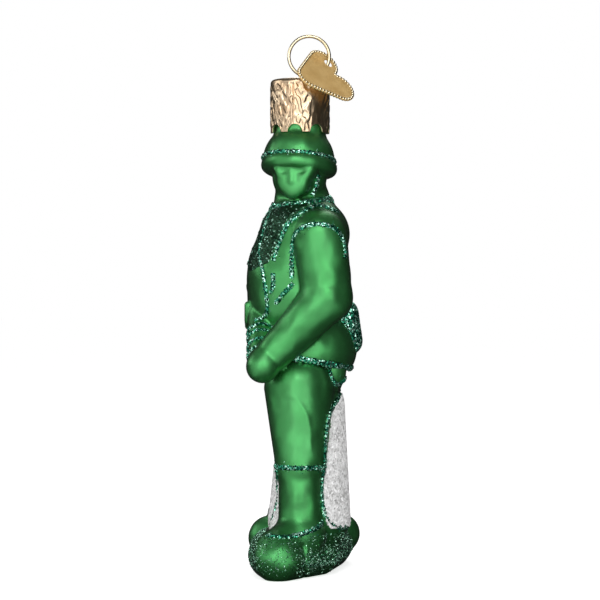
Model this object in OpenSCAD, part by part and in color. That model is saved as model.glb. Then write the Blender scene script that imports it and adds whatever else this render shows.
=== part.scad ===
// Blown-glass hanging ornament in the form of a green toy soldier.
// The soldier is one hollow glass blowing with a neck tube on top of the helmet.
// A drawn metal cap sits on the neck, a sprung wire hanger passes through the cap,
// and a heart-shaped tag is threaded on the hanger's loop. Beads of glitter are
// laid along the seams of the clothing, and the glass web between the legs is frosted white.
// +Z is up, -Y is the side that the chest faces, and +X is the soldier's left.

/* [Figure] */
// Height from the ground to the crown of the helmet
figure_h = 98; // [92:1:106]
// Width that the limbs' places and sizes are shares of
figure_w = 40; // [38:1:44]
// Depth that the limbs' places and sizes are shares of
figure_d = 24; // [23:1:26]
// Thickness of the blown glass
glass_wall = 1.1; // [0.8:0.1:1.4]
// Thickness of the glass at the bottom of the mould, where it pools
glass_floor = 3; // [1.5:0.1:4]

/* [Legs and ground] */
// Radius of the ground's rounded edge, as a share of the height
ground_r_share = 0.053; // [0.050:0.001:0.056]
// Radius of the boot at the ankle, as a share of the height
ankle_r_share = 0.048; // [0.046:0.001:0.050]
// Radius of the boot at its top, as a share of the height
boot_top_r_share = 0.050; // [0.048:0.001:0.052]
// Radius of the boot's toe, as a share of the height
toe_r_share = 0.051; // [0.049:0.001:0.053]
// Radius of the trouser leg just above the boot, as a share of the height
knee_r_share = 0.055; // [0.054:0.001:0.058]
// Radius of the thigh at the hip, as a share of the height
hip_r_share = 0.078; // [0.075:0.001:0.080]
// Radius of the web between the legs, at the ground, as a share of the height
web_foot_r_share = 0.088; // [0.086:0.001:0.090]
// Radius of the web between the legs, at the crotch, as a share of the height
web_top_r_share = 0.067; // [0.065:0.001:0.069]

/* [Body] */
// Half sizes of the vest's skirt, as shares of the width, depth and height
skirt_radius_shares = [0.305, 0.467, 0.097];
// Half sizes of the hips, as shares of the width, depth and height
pelvis_radius_shares = [0.26, 0.35, 0.071];
// Half sizes of the chest, as shares of the width, depth and height
chest_radius_shares = [0.315, 0.48, 0.153];
// Half sizes of the shoulders, as shares of the width, depth and height
shoulder_radius_shares = [0.33, 0.408, 0.087];
// Radius of the neck at the collar, as a share of the height
collar_r_share = 0.076; // [0.074:0.001:0.079]
// Radius of the neck under the helmet, as a share of the height
nape_r_share = 0.055; // [0.053:0.001:0.057]

/* [Arms and rifle] */
// Radius of the arm at the shoulder, as a share of the height
shoulder_r_share = 0.061; // [0.059:0.001:0.063]
// Radius of the arm at the elbow, as a share of the height
elbow_r_share = 0.054; // [0.052:0.001:0.056]
// Radius of the arm at the wrist, as a share of the height
wrist_r_share = 0.042; // [0.040:0.001:0.044]
// Radius of a closed hand, as a share of the height
hand_r_share = 0.036; // [0.034:0.001:0.038]
// Radius of the rifle's butt, as a share of the height
butt_r_share = 0.033; // [0.031:0.001:0.035]
// Radius of the rifle's fore-end, as a share of the height
fore_end_r_share = 0.029; // [0.027:0.001:0.031]
// Radius of the rifle's muzzle, as a share of the height
muzzle_r_share = 0.017; // [0.016:0.001:0.019]
// Radius of the pack's rounded corners, as a share of the height
pack_r_share = 0.032; // [0.030:0.001:0.034]
// Half sizes of the pocket below the vest, as shares of the width, depth and height
pocket_radius_shares = [0.085, 0.133, 0.047];

/* [Head and helmet] */
// Half sizes of the head, as shares of the width, depth and height
head_radius_shares = [0.16, 0.25, 0.065];
// Half sizes of the face, as shares of the width, depth and height
face_radius_shares = [0.115, 0.217, 0.057];
// Radius of the jaw, as a share of the height
jaw_r_share = 0.038; // [0.036:0.001:0.040]
// Radius of the chin, as a share of the height
chin_r_share = 0.022; // [0.021:0.001:0.024]
// Half sizes of the helmet's dome, as shares of the width, depth and height
dome_radius_shares = [0.217, 0.33, 0.081];
// Half sizes of the helmet's rolled brim, as shares of the width, depth and height
brim_radius_shares = [0.232, 0.35, 0.022];

/* [Neck tube and cap] */
// Outside radius of the glass neck tube
tube_r = 5.7; // [5.4:0.1:5.9]
// Length of the neck tube above the helmet's crown
tube_l = 9.3; // [8:0.1:11]
// Outside radius of the cap
cap_r = 6.6; // [6.5:0.1:7.2]
// Length of the cap from its top to the tips of its scallops
cap_l = 11.8; // [10:0.1:13]
// Thickness of the cap's sheet metal
cap_wall = 0.4; // [0.3:0.05:0.5]
// Radius of the cap's rounded shoulder
cap_edge_r = 0.9; // [0.6:0.1:1.2]
// Number of scallops round the cap's lower edge
scallops = 8; // [6:1:10]
// Turn of the scallops about the neck, in degrees
scallop_turn = -10.5; // [-22.5:0.5:22.5]
// Radius of the round gap between two scallops
scallop_gap_r = 1.7; // [1.2:0.1:1.9]

/* [Hanger and tag] */
// Radius of the hanger's wire
wire_r = 0.38; // [0.3:0.02:0.44]
// Radius of the hanger's loop, to the middle of the wire
loop_r = 4.45; // [4.2:0.05:4.8]
// Sideways offset of the loop from the cap's middle
loop_offset = 2.0; // [1.2:0.1:2.2]
// Distance of each stem of the wire from the loop's middle
stem_offset = 1.1; // [1.0:0.1:1.3]
// Radius of the wire's bends, to the middle of the wire
bend_r = 1.2; // [1.0:0.1:1.5]
// Length of the hanger's legs below the cap
leg_l = 11.5; // [9:0.5:13]
// Radius of a lobe of the heart-shaped tag
lobe_r = 3.6; // [3.4:0.1:3.8]
// Distance of each lobe's centre from the heart's middle
lobe_offset = 3.4; // [3.2:0.1:3.5]
// Distance from the lobes' centres down to the heart's tip
tip_drop = 9; // [8:0.2:10]
// Radius of the heart's tip
tip_r = 0.9; // [0.6:0.1:1.2]
// Thickness of the tag
tag_t = 0.36; // [0.3:0.02:0.42]
// Radius of the tag's hole
tag_hole_r = 1.05; // [1.0:0.05:1.2]

/* [Glitter] */
// Width of a bead of glitter
bead_w = 1.6; // [1.2:0.1:2.0]
// Height of a bead of glitter above the glass
bead_h = 0.5; // [0.4:0.05:0.7]
// Thickness of a sprinkled coat of glitter
coat_h = 0.35; // [0.3:0.05:0.5]

/* [Hidden] */

// Facets of a limb and of a large rounded form, which the hollow inside sets lower
$limb_facets = 14;
$form_facets = 24;
// Facets of the hollow inside the glass and of a turned piece
hollow_facets = 8;
turned_facets = 48;
// Length by which every cut runs past what it cuts
overrun = 2 * figure_h;
// Width and depth of the standard figure as shares of its height, at which its limbs are round
build_shares = [0.408, 0.245, 1];
// What a limb's radius is a share of on the three axes, so that limbs stretch with the figure
limb_span = [figure_w / build_shares.x, figure_d / build_shares.y, figure_h / build_shares.z];

// Places of the limbs as shares of figure_w, figure_d and figure_h
ground_shares = [
    [0.46, -0.19, 0.045], [0.29, -0.245, 0.045], [0.03, -0.24, 0.045],
    [-0.42, 0.28, 0.046], [-0.22, 0.26, 0.046], [0.18, 0.125, 0.045],
];
left_heel_share = [0.325, 0.02, 0.087];
left_toe_share = [0.41, -0.19, 0.06];
left_ankle_share = [0.31, 0.01, 0.10];
left_boot_top_share = [0.27, 0.005, 0.235];
left_hip_share = [0.16, -0.005, 0.41];
right_heel_share = [-0.33, 0.375, 0.069];
right_toe_share = [-0.25, -0.275, 0.062];
right_ankle_share = [-0.31, -0.11, 0.112];
right_boot_top_share = [-0.265, 0.08, 0.235];
right_hip_share = [-0.16, 0.06, 0.41];
left_web_foot_share = [0.15, 0.08, 0.12];
left_web_top_share = [0.075, 0.115, 0.37];
right_web_foot_share = [-0.15, 0.09, 0.12];
right_web_top_share = [-0.075, 0.115, 0.37];
skirt_share = [0, 0.055, 0.497];
chest_share = [0, -0.01, 0.65];
shoulders_share = [0, 0.048, 0.754];
pelvis_share = [0, 0.05, 0.435];
collar_share = [-0.02, 0.038, 0.785];
nape_share = [-0.03, 0.004, 0.867];
left_shoulder_share = [0.275, 0.175, 0.745];
left_elbow_share = [0.325, 0.247, 0.612];
left_wrist_share = [0.33, -0.25, 0.485];
left_hand_share = [0.345, -0.31, 0.472];
right_shoulder_share = [-0.275, 0.175, 0.745];
right_elbow_share = [-0.35, 0.17, 0.612];
right_wrist_share = [-0.05, -0.33, 0.575];
right_hand_share = [0, -0.37, 0.57];
butt_share = [0.335, -0.33, 0.457];
fore_end_share = [0.05, -0.36, 0.575];
muzzle_share = [-0.25, -0.30, 0.70];
pack_shares = [
    [0.04, 0.40, 0.575], [0.04, 0.435, 0.515],
    [-0.11, 0.40, 0.575], [-0.11, 0.435, 0.515],
];
pocket_share = [0.13, 0.287, 0.45];
head_share = [0.025, -0.004, 0.884];
face_share = [0.085, -0.03, 0.881];
jaw_share = [0.10, -0.04, 0.867];
chin_share = [0.125, -0.075, 0.85];
dome_share = [0.005, -0.012, 0.918];
brim_share = [0.012, -0.004, 0.902];
// Height of the dome's lower edge, as a share of figure_h
dome_edge_share = 0.884;
// Lean of the helmet back over the head, in degrees about the axes
helmet_lean = [-4, -8, 0];
// Height of the vest's hem at the middle of the body, and its fall over the depth, as shares of figure_h
hem_share = 0.478;
hem_fall_share = 0.0476;
hem_fall = atan(hem_fall_share * figure_h / figure_d);
// Turn of the chest towards the soldier's left, in degrees
chest_turn = 25;

// Glitter lines as seen from the soldier's left, as shares of figure_d and figure_h
lapel_shares = [
    [0.33, 0.80], [0.18, 0.819], [0.08, 0.812], [-0.045, 0.79],
    [-0.15, 0.753], [-0.20, 0.727], [-0.24, 0.692],
];
armhole_shares = [
    [-0.07, 0.654], [-0.07, 0.73], [-0.03, 0.757], [0.04, 0.769],
    [0.155, 0.775], [0.28, 0.769], [0.365, 0.753], [0.40, 0.71],
];
vest_front_shares = [[-0.31, 0.672], [-0.306, 0.628], [-0.288, 0.58], [-0.33, 0.566]];
vest_point_shares = [[-0.06, 0.642], [-0.13, 0.625], [-0.215, 0.60]];
pocket_edge_shares = [[0.25, 0.455], [0.275, 0.435], [0.345, 0.412], [0.42, 0.436]];
strap_shares = [[0.17, 0.882], [0.135, 0.85], [0.11, 0.836]];
back_leg_shares = [
    [0.335, 0.404], [0.255, 0.35], [0.225, 0.295], [0.225, 0.24],
    [0.20, 0.21], [0.20, 0.165], [0.225, 0.125],
];
front_leg_shares = [[-0.21, 0.232], [-0.19, 0.166], [-0.26, 0.115]];
// Glitter seen from the front of the chest, as shares of figure_w and figure_h
far_lapel_shares = [[-0.09, 0.825], [-0.14, 0.775], [-0.165, 0.725], [-0.165, 0.685]];
shirt_shares = [
    [-0.125, 0.62], [0.13, 0.62], [0.14, 0.715], [0.11, 0.80], [-0.07, 0.81], [-0.13, 0.735],
];
// Heights of the bands, and their rises over the depth and the width, as shares of figure_h
helmet_band_share = 0.921;
collar_band_share = 0.829;
collar_rise_shares = [0.0565, 0.0429];
collar_slope = [
    atan(collar_rise_shares.x * figure_h / figure_d),
    -atan(collar_rise_shares.y * figure_h / figure_w),
    0,
];
welt_share = 0.096;
welt_rise_share = 0.0388;
welt_slope = [atan(welt_rise_share * figure_h / figure_d), 0, 0];
// Places of the bands along the rifle, as shares of the length from butt to fore-end
rifle_band_shares = [0.22, 0.37, 0.53, 0.64];
// Width of the collar band and height of the bare edge below the ground's glitter
collar_w = 2.4;
bare_edge = 0.8;

// Cap, neck tube and hanger, from the crown up
seat_gap = 0.1;
tube_top = figure_h + tube_l;
tube_bore_r = tube_r - glass_wall;
cap_top = tube_top + seat_gap + cap_wall;
wire_gap = 0.4;
bend_reach = stem_offset + bend_r;
bend_drop = sqrt(pow(loop_r + bend_r, 2) - pow(bend_reach, 2));
loop_opening = atan(bend_reach / bend_drop);
loop_z = cap_top + bend_drop;
leg_bend_z = cap_top - cap_wall - wire_r;
leg_reach = tube_bore_r - wire_r - wire_gap;

// Where the tag hangs on the loop, how it leans, turns and spins, and where its hole is
tag_loop_angle = -20;
tag_tilt = [0, 53, 42];
tag_spin = 8;
tag_hole_rise_share = 0.42;
tag_hole = [-lobe_offset, lobe_r * tag_hole_rise_share];
tag_at = [
    0,
    loop_offset + loop_r * cos(tag_loop_angle),
    loop_z + loop_r * sin(tag_loop_angle),
];

function place(share) = [share.x * figure_w, share.y * figure_d, share.z * figure_h];

function side_point(share) = [share.x * figure_d, share.y * figure_h];

function front_point(share) = [share.x * figure_w, share.y * figure_h];

module ball(share, r_share, grow = 0) {
    translate(place(share))
        scale(r_share * limb_span + grow * [1, 1, 1])
            sphere(r = 1, $fn = $limb_facets);
}

// A limb: a tapered rod with round ends
module limb(from_share, from_r_share, to_share, to_r_share, grow = 0) {
    hull() {
        ball(from_share, from_r_share, grow);
        ball(to_share, to_r_share, grow);
    }
}

// A rounded form with its own half sizes on the three axes
module form(share, radius_shares, grow = 0) {
    translate(place(share))
        scale(place(radius_shares) + grow * [1, 1, 1])
            sphere(r = 1, $fn = $form_facets);
}

// Everything above a level plane
module above(z) {
    translate([-overrun / 2, -overrun / 2, z]) cube(overrun);
}

// A flat sheet that cuts a band out of a form
module sheet(at, slope, thickness) {
    translate(at) rotate(slope) cube([overrun, overrun, thickness], center = true);
}

// A bead of even width along a line of points
module stroke(points, width) {
    for (i = [1 : len(points) - 1])
        hull() {
            translate(points[i - 1]) circle(d = width, $fn = $limb_facets / 2);
            translate(points[i]) circle(d = width, $fn = $limb_facets / 2);
        }
}

// A line drawn on the soldier's left or right side, as a bar across that half of the body
module side_line(shares, side = 1) {
    mirror([side < 0 ? 1 : 0, 0, 0])
        rotate([90, 0, 90])
            linear_extrude(figure_w)
                stroke([for (share = shares) side_point(share)], bead_w);
}

// An outline drawn on the front of the chest, carried forwards through the body
module from_chest() {
    rotate([0, 0, chest_turn])
        rotate([90, 0, 0])
            linear_extrude(figure_w)
                children();
}

// The line of the far lapel, carried forwards through the body
module far_lapel_line() {
    from_chest() stroke([for (share = far_lapel_shares) front_point(share)], bead_w);
}

module ground_form(grow = 0) {
    intersection() {
        hull() for (share = ground_shares) ball(share, ground_r_share, grow);
        above(0);
    }
}

module boot_form(heel, toe, ankle, top, grow = 0) {
    intersection() {
        limb(heel, ankle_r_share, toe, toe_r_share, grow);
        above(0);
    }
    limb(ankle, ankle_r_share, top, boot_top_r_share, grow);
}

module left_boot_form(grow = 0) {
    boot_form(left_heel_share, left_toe_share, left_ankle_share, left_boot_top_share, grow);
}

module right_boot_form(grow = 0) {
    boot_form(right_heel_share, right_toe_share, right_ankle_share, right_boot_top_share, grow);
}

module left_leg_form(grow = 0) {
    limb(left_boot_top_share, knee_r_share, left_hip_share, hip_r_share, grow);
}

module right_leg_form(grow = 0) {
    limb(right_boot_top_share, knee_r_share, right_hip_share, hip_r_share, grow);
}

module web_form(grow = 0) {
    hull() {
        ball(left_web_foot_share, web_foot_r_share, grow);
        ball(left_web_top_share, web_top_r_share, grow);
        ball(right_web_foot_share, web_foot_r_share, grow);
        ball(right_web_top_share, web_top_r_share, grow);
    }
}

module skirt_form(grow = 0) {
    intersection() {
        form(skirt_share, skirt_radius_shares, grow);
        translate([0, 0, hem_share * figure_h - grow])
            rotate([-hem_fall, 0, 0])
                above(0);
    }
}

module pelvis_form(grow = 0) {
    form(pelvis_share, pelvis_radius_shares, grow);
}

module torso_form(grow = 0) {
    form(chest_share, chest_radius_shares, grow);
    form(shoulders_share, shoulder_radius_shares, grow);
}

module neck_form(grow = 0) {
    limb(collar_share, collar_r_share, nape_share, nape_r_share, grow);
}

module left_arm_form(grow = 0) {
    limb(left_shoulder_share, shoulder_r_share, left_elbow_share, elbow_r_share, grow);
    limb(left_elbow_share, elbow_r_share, left_wrist_share, wrist_r_share, grow);
    ball(left_hand_share, hand_r_share, grow);
}

module right_arm_form(grow = 0) {
    limb(right_shoulder_share, shoulder_r_share, right_elbow_share, elbow_r_share, grow);
    limb(right_elbow_share, elbow_r_share, right_wrist_share, wrist_r_share, grow);
    ball(right_hand_share, hand_r_share, grow);
}

module rifle_form(grow = 0) {
    limb(butt_share, butt_r_share, fore_end_share, fore_end_r_share, grow);
    limb(fore_end_share, fore_end_r_share, muzzle_share, muzzle_r_share, grow);
}

module pack_form(grow = 0) {
    hull() for (share = pack_shares) ball(share, pack_r_share, grow);
}

module pocket_form(grow = 0) {
    form(pocket_share, pocket_radius_shares, grow);
}

module head_form(grow = 0) {
    form(head_share, head_radius_shares, grow);
    form(face_share, face_radius_shares, grow);
    limb(jaw_share, jaw_r_share, chin_share, chin_r_share, grow);
}

// Leans the helmet and its band back about the middle of the dome
module on_helmet() {
    middle = place(dome_share);
    translate(middle) rotate(helmet_lean) translate(-middle) children();
}

module helmet_form(grow = 0) {
    on_helmet() intersection() {
        union() {
            form(dome_share, dome_radius_shares, grow);
            form(brim_share, brim_radius_shares, grow);
        }
        above(dome_edge_share * figure_h - grow);
    }
}

module tube_form() {
    translate([0, 0, dome_share.z * figure_h])
        cylinder(r = tube_r, h = tube_top - dome_share.z * figure_h, $fn = turned_facets);
}

// The whole outside of the glass
module figure_form() {
    ground_form();
    left_boot_form();
    right_boot_form();
    left_leg_form();
    right_leg_form();
    web_form();
    pelvis_form();
    skirt_form();
    torso_form();
    neck_form();
    left_arm_form();
    right_arm_form();
    rifle_form();
    pack_form();
    pocket_form();
    head_form();
    helmet_form();
    tube_form();
}

// The hollow that the blowing leaves inside the main volumes
module hollow_form() {
    $limb_facets = hollow_facets;
    $form_facets = hollow_facets + 2;
    inset = -glass_wall;
    intersection() {
        ground_form(inset);
        above(glass_floor);
    }
    left_leg_form(inset);
    right_leg_form(inset);
    web_form(inset);
    pelvis_form(inset);
    skirt_form(inset);
    torso_form(inset);
    neck_form(inset);
    head_form(inset);
    helmet_form(inset);
    translate([0, 0, dome_share.z * figure_h])
        cylinder(r = tube_bore_r, h = overrun, $fn = turned_facets);
}

// A bead or a coat of glitter: what is left of its children outside the glass
module laid_on_glass(shade) {
    color(shade) difference() {
        children();
        figure_form();
    }
}

module glass_body() {
    color("forestgreen") difference() {
        figure_form();
        hollow_form();
    }
}

// Outline of the cap's cup, revolved about the neck, drawn in by a wall's thickness
module cup_profile(inset) {
    r = cap_r - inset;
    edge_r = cap_edge_r - inset;
    square([r, cap_l - cap_edge_r]);
    square([r - edge_r, cap_l - inset]);
    translate([r - edge_r, cap_l - cap_edge_r]) intersection() {
        circle(r = edge_r);
        square(edge_r);
    }
}

module cap() {
    color("palegoldenrod") translate([0, 0, cap_top - cap_l]) difference() {
        rotate_extrude($fn = turned_facets) difference() {
            cup_profile(0);
            translate([0, -overrun]) square([cap_r - cap_wall, overrun]);
            cup_profile(cap_wall);
        }
        for (i = [0 : scallops - 1])
            rotate([0, 90, scallop_turn + 360 * i / scallops])
                cylinder(r = scallop_gap_r, h = overrun, $fn = turned_facets);
        for (side = [-1, 1])
            translate([0, loop_offset + side * stem_offset, 0])
                cylinder(r = wire_r + wire_gap, h = overrun, $fn = turned_facets);
    }
}

// A curved piece of wire in the neck's middle plane, from one angle to another about its centre
module wire_arc(centre, r, from, to) {
    translate([0, centre.x, centre.y])
        rotate([90, 0, 90])
            rotate([0, 0, from])
                rotate_extrude(angle = to - from, $fn = turned_facets)
                    translate([r, 0])
                        circle(r = wire_r, $fn = turned_facets);
}

// One end of the wire: out of the loop, down through the cap and splayed inside the neck
module wire_end(side) {
    splay = asin((leg_reach - stem_offset - side * loop_offset) / (leg_l + bend_r));
    wire_arc([bend_reach, -bend_drop], bend_r, 90 + loop_opening, 180);
    translate([0, stem_offset, leg_bend_z - loop_z])
        cylinder(r = wire_r, h = loop_z - leg_bend_z - bend_drop, $fn = turned_facets);
    wire_arc([bend_reach, leg_bend_z - loop_z], bend_r, 180, 180 + splay);
    translate([0, bend_reach, leg_bend_z - loop_z])
        rotate([splay, 0, 0])
            translate([0, -bend_r, -leg_l])
                cylinder(r = wire_r, h = leg_l, $fn = turned_facets);
}

module hanger() {
    color("gold") translate([0, loop_offset, loop_z]) {
        wire_arc([0, 0], loop_r, loop_opening - 90, 270 - loop_opening);
        for (side = [-1, 1])
            mirror([0, side < 0 ? 1 : 0, 0]) wire_end(side);
    }
}

module heart_outline() {
    for (side = [-1, 1])
        hull() {
            translate([side * lobe_offset, 0]) circle(r = lobe_r, $fn = turned_facets);
            translate([0, -tip_drop]) circle(r = tip_r, $fn = turned_facets / 2);
        }
}

module tag() {
    color("goldenrod") translate(tag_at) rotate(tag_tilt) rotate([0, 0, tag_spin])
        translate([-tag_hole.x, -tag_hole.y, -tag_t / 2]) difference() {
            linear_extrude(tag_t) heart_outline();
            translate([tag_hole.x, tag_hole.y, -overrun / 2])
                cylinder(r = tag_hole_r, h = overrun, $fn = turned_facets);
        }
}

module helmet_band() {
    laid_on_glass("seagreen") intersection() {
        helmet_form(bead_h);
        on_helmet() sheet([0, 0, helmet_band_share * figure_h], [0, 0, 0], bead_w);
    }
}

module chin_strap() {
    laid_on_glass("seagreen") intersection() {
        union() {
            head_form(bead_h);
            neck_form(bead_h);
        }
        side_line(strap_shares);
    }
}

module collar() {
    color("seagreen") difference() {
        intersection() {
            neck_form(bead_h);
            sheet([0, 0, collar_band_share * figure_h], collar_slope, collar_w);
        }
        figure_form();
        side_line(lapel_shares);
        side_line(strap_shares);
        far_lapel_line();
    }
}

module shirt_front() {
    color("darkgreen") difference() {
        intersection() {
            torso_form(coat_h);
            from_chest() polygon([for (share = shirt_shares) front_point(share)]);
        }
        figure_form();
        neck_form(bead_h);
        side_line(lapel_shares);
        side_line(vest_front_shares);
        far_lapel_line();
    }
}

module lapel_left() {
    laid_on_glass("seagreen") intersection() {
        union() {
            torso_form(bead_h);
            neck_form(bead_h);
        }
        side_line(lapel_shares);
    }
}

module lapel_right() {
    laid_on_glass("seagreen") intersection() {
        torso_form(bead_h);
        far_lapel_line();
    }
}

module vest_front() {
    color("seagreen") difference() {
        intersection() {
            torso_form(bead_h);
            union() {
                side_line(vest_front_shares);
                side_line(vest_point_shares);
            }
        }
        figure_form();
        side_line(armhole_shares);
    }
}

module armhole(side) {
    intersection() {
        union() {
            torso_form(bead_h);
            if (side > 0) left_arm_form(bead_h);
            if (side < 0) right_arm_form(bead_h);
        }
        side_line(armhole_shares, side);
    }
}

module armhole_left() {
    laid_on_glass("seagreen") armhole(1);
}

module armhole_right() {
    laid_on_glass("seagreen") armhole(-1);
}

module vest_hem() {
    laid_on_glass("seagreen") intersection() {
        skirt_form(bead_h);
        sheet([0, 0, hem_share * figure_h + bead_w / 2], [-hem_fall, 0, 0], bead_w);
    }
}

module pack_glitter() {
    laid_on_glass("seagreen") pack_form(coat_h);
}

module pocket_edge() {
    color("seagreen") difference() {
        intersection() {
            pocket_form(bead_h);
            translate([pocket_share.x * figure_w, 0, 0]) side_line(pocket_edge_shares);
        }
        figure_form();
        skirt_form(bead_h);
    }
}

module rifle_bands() {
    butt = place(butt_share);
    run = place(fore_end_share) - butt;
    slope = [0, atan2(norm([run.x, run.y]), run.z), atan2(run.y, run.x)];
    color("seagreen") difference() {
        intersection() {
            rifle_form(bead_h);
            for (share = rifle_band_shares) sheet(butt + run * share, slope, bead_w / 2);
        }
        figure_form();
        skirt_form(bead_h);
        torso_form(bead_h);
    }
}

module boot_top(top_share) {
    sheet([0, 0, top_share.z * figure_h], [0, 0, 0], bead_w);
}

module boot_top_left() {
    laid_on_glass("seagreen") intersection() {
        left_leg_form(bead_h);
        boot_top(left_boot_top_share);
    }
}

module boot_top_right() {
    laid_on_glass("seagreen") intersection() {
        right_leg_form(bead_h);
        boot_top(right_boot_top_share);
    }
}

module boot_welt(toe_share) {
    sheet([0, toe_share.y * figure_d / 2, welt_share * figure_h], welt_slope, bead_w);
}

module boot_welt_left() {
    color("seagreen") difference() {
        intersection() {
            left_boot_form(bead_h);
            boot_welt(left_toe_share);
        }
        figure_form();
        web_form(bead_h);
    }
}

module boot_welt_right() {
    color("seagreen") difference() {
        intersection() {
            right_boot_form(bead_h);
            boot_welt(right_toe_share);
        }
        figure_form();
        web_form(bead_h);
    }
}

// The lines that border the web, at the back and the front of both legs
module web_border() {
    for (side = [-1, 1]) {
        side_line(back_leg_shares, side);
        side_line(front_leg_shares, side);
    }
}

module leg_lines() {
    color("seagreen") difference() {
        intersection() {
            union() {
                left_leg_form(bead_h);
                right_leg_form(bead_h);
                left_boot_form(bead_h);
                right_boot_form(bead_h);
                web_form(bead_h);
            }
            web_border();
        }
        figure_form();
        boot_top(left_boot_top_share);
        skirt_form(bead_h);
        pocket_form(bead_h);
        ground_form(bead_h);
        boot_welt(left_toe_share);
        boot_welt(right_toe_share);
    }
}

// White glitter on the bare web, on the front or the back
module web_frost(side) {
    color("gainsboro") difference() {
        intersection() {
            web_form(coat_h);
            translate([-overrun / 2, side < 0 ? -overrun : 0, 0]) cube(overrun);
        }
        figure_form();
        web_border();
        ground_form(bead_h);
        left_leg_form(bead_h);
        right_leg_form(bead_h);
        left_boot_form(bead_h);
        right_boot_form(bead_h);
        pocket_form(bead_h);
    }
}

module web_frost_front() {
    web_frost(-1);
}

module web_frost_back() {
    web_frost(1);
}

module ground_glitter() {
    color("darkgreen") difference() {
        intersection() {
            ground_form(coat_h);
            above(bare_edge);
        }
        figure_form();
        left_boot_form(bead_h);
        right_boot_form(bead_h);
    }
}

glass_body();
cap();
hanger();
tag();
helmet_band();
chin_strap();
collar();
shirt_front();
lapel_left();
lapel_right();
vest_front();
armhole_left();
armhole_right();
vest_hem();
pack_glitter();
pocket_edge();
rifle_bands();
boot_top_left();
boot_top_right();
boot_welt_left();
boot_welt_right();
leg_lines();
web_frost_front();
web_frost_back();
ground_glitter();
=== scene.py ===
# %% [markdown]
# # A glass soldier to hang up, surface by surface
# The real thing is a hollow blowing of glass, silvered inside and lacquered green outside,
# with glitter glued along the seams of the clothing and a metal cap on its neck.
# Each step below says what a piece is on the real ornament and then works its surface out
# with numpy, as whole arrays. Lengths are in millimetres until a mesh is made.

# %% Load the frame
import math

import bpy
import numpy as np
from mathutils import Matrix


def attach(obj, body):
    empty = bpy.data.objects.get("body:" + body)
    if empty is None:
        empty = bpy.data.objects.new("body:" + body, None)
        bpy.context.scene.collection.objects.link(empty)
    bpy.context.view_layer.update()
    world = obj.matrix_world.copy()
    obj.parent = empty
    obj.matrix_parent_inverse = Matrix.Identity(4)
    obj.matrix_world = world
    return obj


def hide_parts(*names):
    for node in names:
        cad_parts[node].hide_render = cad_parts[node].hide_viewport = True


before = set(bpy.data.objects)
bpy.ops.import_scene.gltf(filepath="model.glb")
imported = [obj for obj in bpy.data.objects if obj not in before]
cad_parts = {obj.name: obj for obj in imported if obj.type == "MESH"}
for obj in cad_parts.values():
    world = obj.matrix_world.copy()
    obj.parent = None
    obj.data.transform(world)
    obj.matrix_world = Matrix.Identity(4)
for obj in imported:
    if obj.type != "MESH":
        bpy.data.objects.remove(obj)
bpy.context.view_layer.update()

MM = 0.001

# %% [markdown]
# ## Meshes out of arrays
# A grid of points becomes a mesh by joining each point to its neighbours in both directions.
# A strip that closes on itself around gets its two ends closed with a point in the middle,
# so that every piece is a closed skin.


# %% Mesh helpers
def add_mesh(name, points, quads, tris=None, smooth=True):
    """One object from an array of points in mm, an array of quads and an array of triangles."""
    quads = np.asarray(quads, np.int32).reshape(-1, 4)
    tris = np.zeros((0, 3), np.int32) if tris is None else np.asarray(tris, np.int32).reshape(-1, 3)
    corners = np.concatenate([quads.ravel(), tris.ravel()])
    starts = np.concatenate([np.arange(len(quads)) * 4, quads.size + np.arange(len(tris)) * 3])
    mesh = bpy.data.meshes.new(name)
    mesh.vertices.add(len(points))
    mesh.vertices.foreach_set("co", (np.asarray(points, np.float64) * MM).ravel())
    mesh.loops.add(len(corners))
    mesh.loops.foreach_set("vertex_index", corners)
    mesh.polygons.add(len(starts))
    mesh.polygons.foreach_set("loop_start", starts.astype(np.int32))
    mesh.polygons.foreach_set("use_smooth", np.full(len(starts), smooth))
    mesh.update(calc_edges=True)
    piece = bpy.data.objects.new(name, mesh)
    bpy.context.scene.collection.objects.link(piece)
    print(f"{name}: {len(points)} points, {len(starts)} faces")
    return piece


def tube_faces(rows, columns, closed):
    """Quads between neighbouring rows of a grid whose columns close on themselves. An open tube
    gets two extra points after the grid, one at each end, and triangles that run to them."""
    index = np.arange(rows * columns).reshape(rows, columns)
    after = np.roll(index, -1, axis=1)
    if closed:
        up, up_after = np.roll(index, -1, axis=0), np.roll(after, -1, axis=0)
        return np.stack([index, after, up_after, up], -1).reshape(-1, 4), np.zeros((0, 3), int)
    quads = np.stack([index[:-1], after[:-1], after[1:], index[1:]], -1).reshape(-1, 4)
    low, high = rows * columns, rows * columns + 1
    start = np.stack([after[0], index[0], np.full(columns, low)], -1)
    end = np.stack([index[-1], after[-1], np.full(columns, high)], -1)
    return quads, np.concatenate([start, end])


def tube_points(grid, closed):
    """The points of a grid, with the middles of its first and last rows added if it is open."""
    flat = grid.reshape(-1, 3)
    if closed:
        return flat
    return np.concatenate([flat, grid[:1].mean(axis=1), grid[-1:].mean(axis=1)])


def join(parts):
    """Several (points, quads, tris) sets as one set, with the indices moved along."""
    points, quads, tris, first = [], [], [], 0
    for part_points, part_quads, part_tris in parts:
        points.append(part_points)
        quads.append(np.asarray(part_quads).reshape(-1, 4) + first)
        tris.append(np.asarray(part_tris).reshape(-1, 3) + first)
        first += len(part_points)
    return np.concatenate(points), np.concatenate(quads), np.concatenate(tris)


# %% [markdown]
# ## The soldier as a distance
# The glass was blown into a mould, so its forms run into each other with soft creases.
# Each limb is a tapered rod with round ends and each big form is an egg. For any point in
# space the script knows how far it is from all of them, and it melts the distances together:
# where two are nearly equal the smaller one is rounded off, as glass does in a mould.

# %% Distances to simple forms
FIGURE = np.array([40.0, 24.0, 98.0])


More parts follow.
